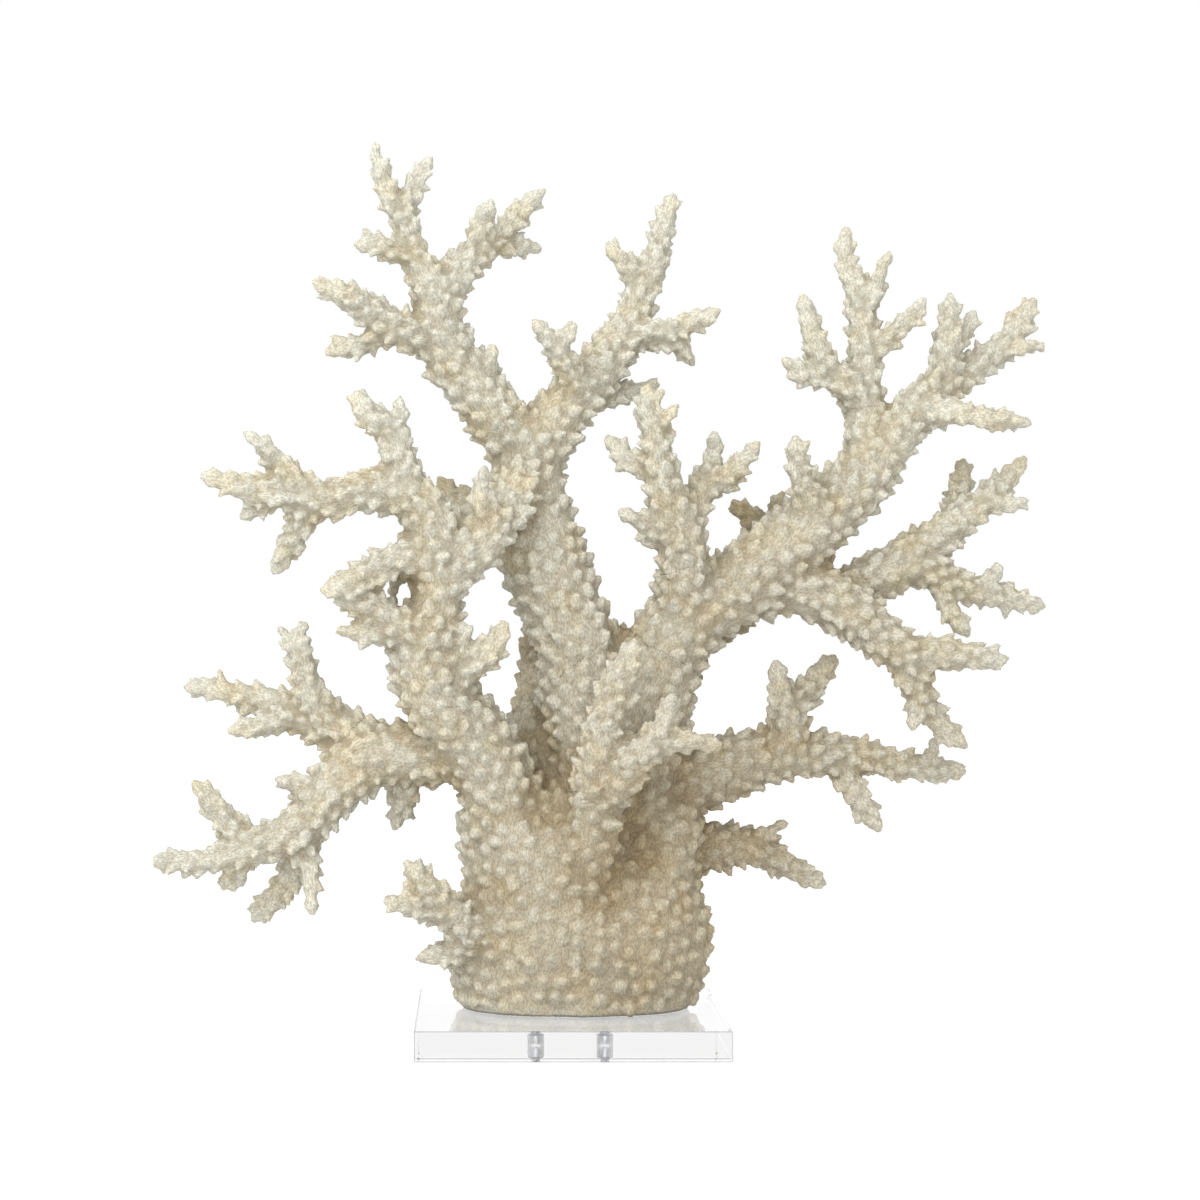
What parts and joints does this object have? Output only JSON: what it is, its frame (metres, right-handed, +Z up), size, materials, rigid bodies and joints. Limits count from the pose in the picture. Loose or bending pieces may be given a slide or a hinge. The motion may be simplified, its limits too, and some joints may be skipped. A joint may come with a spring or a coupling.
{
  "type": "mounted coral specimen",
  "caption": "Branching ivory coral with lumpy tapering limbs and forked tips, standing upright on a flat clear rectangular block.",
  "frame": {"origin": "middle of the clear block's underside, which rests on the surface below", "axes": "+Z up, +X to the viewer's right along the block's front edge, +Y away from the viewer through the block's depth"},
  "size_m": [0.4867, 0.1789, 0.4817],
  "materials": {
    "coral": "matt, chalky, bumpy",
    "clear_acrylic": "clear, polished",
    "screw_steel": "plain"
  },
  "bodies": {
    "root": {"acrylic_block": "clear_acrylic", "mounting_screw_left": "screw_steel", "mounting_screw_right": "screw_steel", "coral_front_left_limb": "coral", "coral_left_arm": "coral", "coral_low_left_arm": "coral", "coral_low_left_upper_arm": "coral", "coral_centre_limb": "coral", "coral_left_crown": "coral", "coral_right_crown": "coral", "coral_right_limb": "coral", "coral_middle_limb": "coral", "coral_upper_right_limb": "coral", "coral_upper_right_fan": "coral", "coral_middle_right_arm": "coral", "coral_lower_right_arm": "coral", "coral_low_right_arm": "coral", "coral_low_right_sprig": "coral", "coral_base_sprig": "coral", "coral_front_sprig": "coral", "coral_back_left_limb": "coral", "coral_back_right_limb": "coral", "coral_trunk": "coral"}
  },
  "joints": []
}
